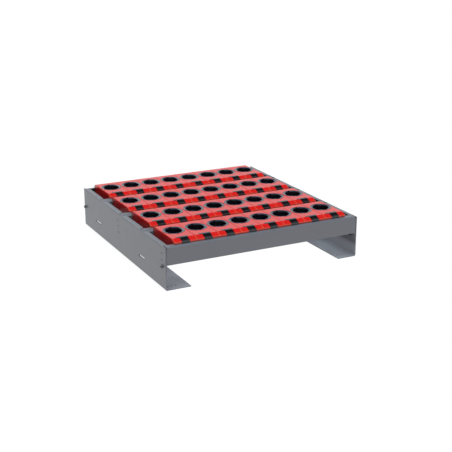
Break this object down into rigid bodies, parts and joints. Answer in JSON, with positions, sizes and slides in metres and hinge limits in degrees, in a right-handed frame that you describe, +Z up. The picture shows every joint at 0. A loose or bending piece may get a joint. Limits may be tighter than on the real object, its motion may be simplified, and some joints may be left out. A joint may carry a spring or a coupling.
{
  "type": "tool holder tray",
  "caption": "Sheet-metal tray on two C-shaped side panels, with rows of plastic blocks on cross rails; each block has a tapered pocket for a taper-shank tool holder and a bare label place.",
  "frame": {"origin": "on the floor under the middle of the tray", "axes": "+X to the right and -Y to the front as one stands at the label side, +Z up"},
  "size_m": [0.644, 0.67, 0.1405],
  "materials": {
    "frame_paint": "satin grey powder coat",
    "fastener_steel": "dark zinc",
    "block_plastic": "moulded red plastic, satin",
    "insert_plastic": "moulded black plastic",
    "label_plastic": "moulded black plastic"
  },
  "bodies": {
    "frame": {"left_side_panel": "frame_paint", "right_side_panel": "frame_paint", "front_rail": "frame_paint", "rear_rail": "frame_paint", "cross_rail_1": "frame_paint", "cross_rail_2": "frame_paint", "cross_rail_3": "frame_paint", "front_left_screw": "fastener_steel", "front_left_nut": "fastener_steel", "front_right_screw": "fastener_steel", "front_right_nut": "fastener_steel", "rear_left_screw": "fastener_steel", "rear_left_nut": "fastener_steel", "rear_right_screw": "fastener_steel", "rear_right_nut": "fastener_steel"},
    "row_1": {"holder_r1_c1": "block_plastic", "holder_r1_c2": "block_plastic", "holder_r1_c3": "block_plastic", "holder_r1_c4": "block_plastic", "holder_r1_c5": "block_plastic", "holder_r1_c6": "block_plastic", "holder_r1_c7": "block_plastic", "holder_r1_c8": "block_plastic"},
    "row_2": {"holder_r2_c1": "block_plastic", "holder_r2_c2": "block_plastic", "holder_r2_c3": "block_plastic", "holder_r2_c4": "block_plastic", "holder_r2_c5": "block_plastic", "holder_r2_c6": "block_plastic", "holder_r2_c7": "block_plastic", "holder_r2_c8": "block_plastic"},
    "row_3": {"holder_r3_c1": "block_plastic", "holder_r3_c2": "block_plastic", "holder_r3_c3": "block_plastic", "holder_r3_c4": "block_plastic", "holder_r3_c5": "block_plastic", "holder_r3_c6": "block_plastic", "holder_r3_c7": "block_plastic", "holder_r3_c8": "block_plastic"},
    "row_4": {"holder_r4_c1": "block_plastic", "holder_r4_c2": "block_plastic", "holder_r4_c3": "block_plastic", "holder_r4_c4": "block_plastic", "holder_r4_c5": "block_plastic", "holder_r4_c6": "block_plastic", "holder_r4_c7": "block_plastic", "holder_r4_c8": "block_plastic"}
  },
  "joints": [
    {"name": "row_1_shift", "type": "slide", "parent": "frame", "child": "row_1", "axis": [1, 0, 0], "range_m": [-0.018, 0.018]},
    {"name": "row_2_shift", "type": "slide", "parent": "frame", "child": "row_2", "axis": [1, 0, 0], "range_m": [-0.018, 0.018]},
    {"name": "row_3_shift", "type": "slide", "parent": "frame", "child": "row_3", "axis": [1, 0, 0], "range_m": [-0.018, 0.018]},
    {"name": "row_4_shift", "type": "slide", "parent": "frame", "child": "row_4", "axis": [1, 0, 0], "range_m": [-0.018, 0.018]}
  ]
}
